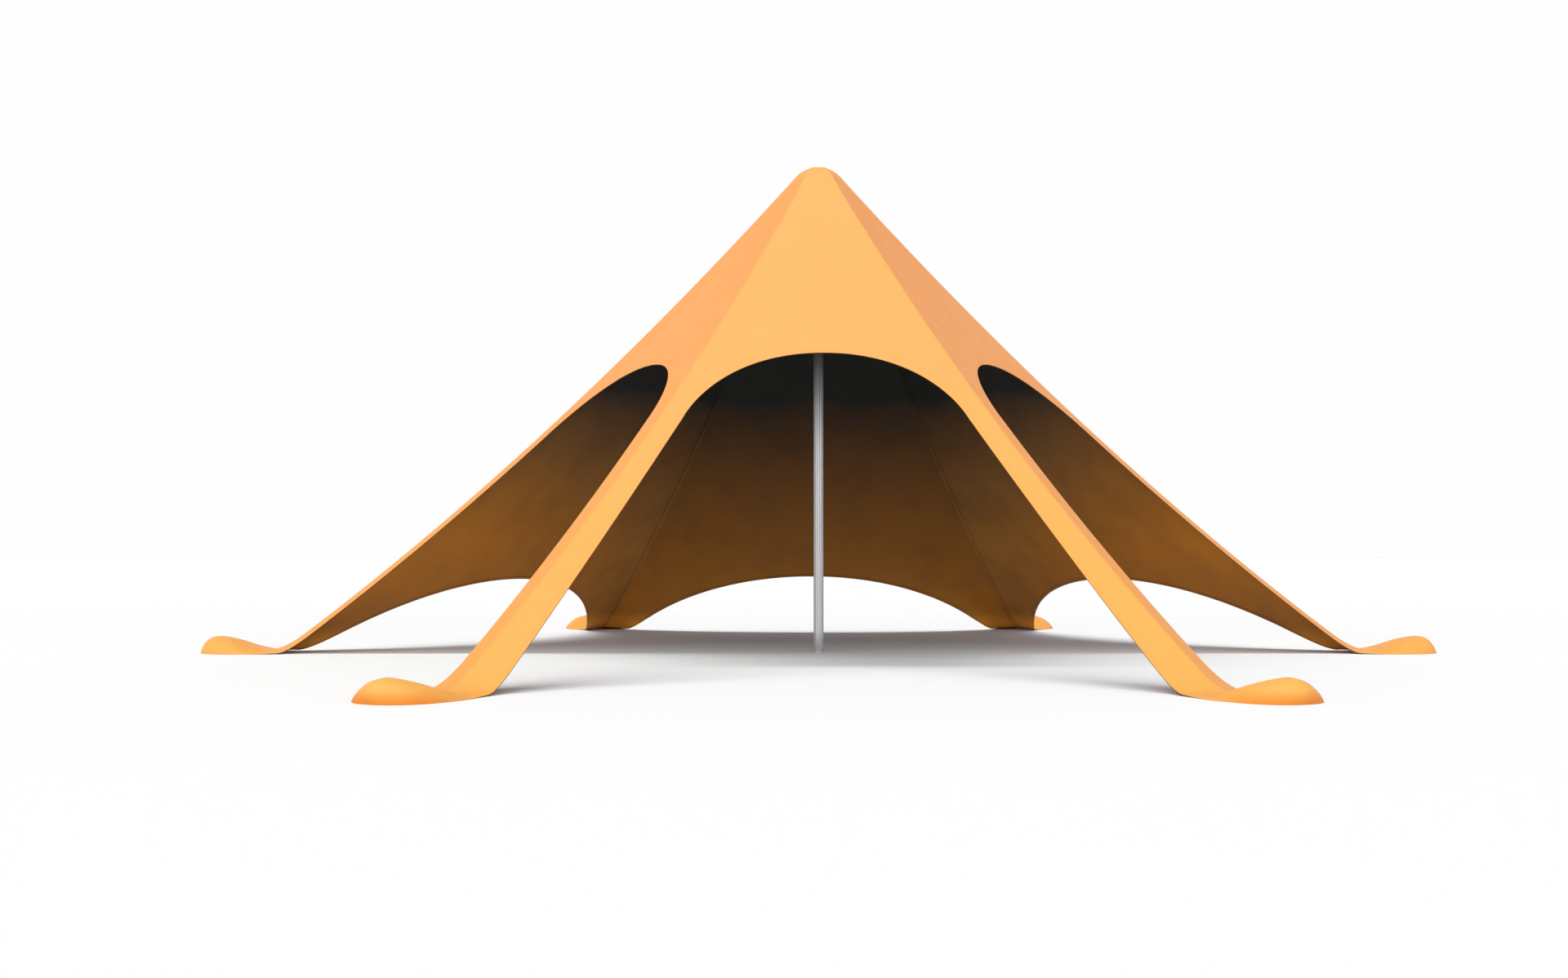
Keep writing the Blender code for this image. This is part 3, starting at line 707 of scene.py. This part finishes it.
def add_mast(metal):
    """Fluted tube, with its ends rounded off a little."""
    low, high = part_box("mast_tube")
    per_flute = 14
    count = FLUTES * per_flute
    rings = [(low.z, -0.001), (low.z + 0.001, 0.0), (high.z - 0.001, 0.0), (high.z, -0.001)]
    heights = [rings[0], rings[1]]
    spans = 24
    heights += [(low.z + (high.z - low.z) * k / spans, 0.0) for k in range(1, spans)]
    heights += [rings[2], rings[3]]
    vertices, faces = [], []
    for z, inset in heights:
        for k in range(count):
            a = 2 * pi * k / count
            wave = abs(cos(a * FLUTES / 2)) ** 0.5
            r = MAST_RADIUS - FLUTE_DEPTH * (1 - wave) + inset
            vertices.append((r * cos(a), r * sin(a), z))
    for i in range(len(heights) - 1):
        for k in range(count):
            n = (k + 1) % count
            faces.append((i * count + k, i * count + n, (i + 1) * count + n, (i + 1) * count + k))
    faces.append(tuple(reversed(range(count))))
    faces.append(tuple(range((len(heights) - 1) * count, len(heights) * count)))
    mesh = bpy.data.meshes.new("fluted_mast")
    mesh.from_pydata(vertices, [], faces)
    mesh.shade_smooth()
    mesh.set_sharp_from_angle(angle=radians(50))
    mesh.materials.append(metal)
    mast = bpy.data.objects.new("fluted_mast", mesh)
    bpy.context.scene.collection.objects.link(mast)
    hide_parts("mast_tube")
    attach(mast, "root")


def finish_node(node, material):
    """Gives a CAD node that stays its finished material."""
    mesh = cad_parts[node].data
    mesh.materials.clear()
    mesh.materials.append(material)


# Studio

def add_floor():
    radius = 600.0
    sides = 180
    mesh = bpy.data.meshes.new("studio_floor")
    turns = [2 * pi * k / sides for k in range(sides)]
    mesh.from_pydata([(radius * cos(a), radius * sin(a), -0.0005) for a in turns], [], [tuple(range(sides))])
    nodes = Nodes("studio_floor_white")
    mesh.materials.append(nodes.finish(Base_Color=(0.619, 0.619, 0.619, 1), Roughness=0.9, Specular_IOR_Level=0.0))
    floor = bpy.data.objects.new("studio_floor", mesh)
    bpy.context.scene.collection.objects.link(floor)


# Studio light, by the direction it comes from: x to the right, y to the back and z up, on the unit sphere
WALLS = (0.62, 0.62, 0.62)
WALL_BACK_LEFT = (0.62, 0.63, 0.72)
WALL_BACK_RIGHT = (0.66, 0.71, 1.30)
BACKDROP = (0.99, 0.99, 0.99)
STRIP = (19.0, 19.0, 18.8)
CEILING_FRONT = (1.74, 1.72, 1.66)
CEILING_BACK = (0.04, 0.04, 0.04)
PANEL_LEFT = (4.8, 4.9, 5.2)
PANEL_RIGHT = (4.3, 4.4, 4.7)
ABOVE_PANEL = (0.20, 0.20, 0.20)


def add_sky():
    """Pale studio: a long strip light over the mast and a low panel in front, seen against a white backdrop."""
    world = bpy.data.worlds.new("studio")
    world.use_nodes = True
    tree = world.node_tree
    place = tree.nodes.new("ShaderNodeTexCoord")
    axes = tree.nodes.new("ShaderNodeSeparateXYZ")
    tree.links.new(place.outputs["Generated"], axes.inputs[0])

    def blend(value, low, high, first, second):
        """The first colour below low, the second above high, and a soft change between them."""
        ramp = tree.nodes.new("ShaderNodeMapRange")
        ramp.interpolation_type = "SMOOTHSTEP"
        ramp.inputs[1].default_value, ramp.inputs[2].default_value = low, high
        tree.links.new(value, ramp.inputs[0])
        mix = tree.nodes.new("ShaderNodeMix")
        mix.data_type = "RGBA"
        tree.links.new(ramp.outputs[0], mix.inputs[0])
        for key, colour in ((6, first), (7, second)):
            if isinstance(colour, bpy.types.NodeSocket):
                tree.links.new(colour, mix.inputs[key])
            else:
                mix.inputs[key].default_value = (*colour, 1.0)
        return mix.outputs[2]

    x, y, z = axes.outputs
    walls = blend(x, -0.05, 0.05, WALL_BACK_LEFT, WALL_BACK_RIGHT)
    walls = blend(y, 0.28, 0.32, WALLS, walls)
    walls = blend(y, 0.70, 0.76, walls, BACKDROP)
    panel = blend(x, -0.05, 0.05, PANEL_LEFT, PANEL_RIGHT)
    panel = blend(z, 0.06, 0.10, WALLS, panel)
    panel = blend(z, 0.31, 0.35, panel, ABOVE_PANEL)
    walls = blend(y, -0.32, -0.28, panel, walls)
    strip = blend(x, -0.86, -0.62, CEILING_BACK, STRIP)
    strip = blend(x, 0.02, 0.52, strip, CEILING_BACK)
    ceiling = blend(y, -0.065, -0.055, CEILING_FRONT, strip)
    ceiling = blend(y, 0.055, 0.065, ceiling, CEILING_BACK)
    colour = blend(z, 0.56, 0.64, walls, ceiling)
    seen = tree.nodes.new("ShaderNodeLightPath").outputs["Is Camera Ray"]
    colour = blend(seen, 0.0, 1.0, colour, BACKDROP)
    tree.links.new(colour, tree.nodes["Background"].inputs["Color"])
    bpy.context.scene.world = world


CAMERA_PLACE = (-0.426, -17.284, 1.102)
CAMERA_PITCH = 0.0431
CAMERA_YAW = -0.0020


def add_camera():
    data = bpy.data.cameras.new("camera")
    data.lens = 35.0
    data.sensor_width = 36.0
    camera = bpy.data.objects.new("camera", data)
    camera.location = CAMERA_PLACE
    camera.rotation_euler = (pi / 2 + CAMERA_PITCH, 0.0, CAMERA_YAW)
    bpy.context.scene.collection.objects.link(camera)
    bpy.context.scene.camera = camera


outer = {panel: cloth_material("canopy_cloth_outside_" + panel, panel) for panel in OUTER_TONES}
inner = {panel: cloth_material("canopy_cloth_inside_" + panel, panel, inner=True) for panel in INNER_TONES}
lining = {panel: hem_material("hem_lining_" + panel, panel) for panel in INNER_TONES}
edge = hem_material("hem_edge")
belt = belt_material()
metal = aluminium_material()
steel = steel_material()

for name, angle in ENTRANCES.items():
    foot_width = FRONT_FOOT_WIDTH if name == "front" else SIDE_FOOT_WIDTH
    cloth = [outer["front" if name == "front" else "side"], inner["side"], edge]
    add_gore(name, angle, entrance_columns(foot_width), cloth, [edge, lining["side"], edge])
for name, angle in BACK_GORES.items():
    panel = "back" if name == "back" else "side"
    cloth = [outer["side"], inner[panel], edge]
    add_gore(name, angle, scallop_columns(), cloth, [edge, lining[panel], edge])
for name, angle in ARMS.items():
    panel = "front_hood" if name.startswith("front") else "hood"
    add_hood(name, angle, [outer[panel], inner["side"], edge])
    add_belt(name, angle, belt)
    finish_node("ground_plate_" + name, steel)
add_cap([outer["front"], inner["side"], edge])
add_mast(metal)
for node in ("mast_foot", "mast_socket", "mast_head_plate"):
    finish_node(node, metal)

add_floor()
add_sky()
add_camera()
bpy.context.scene.view_settings.view_transform = "Standard"
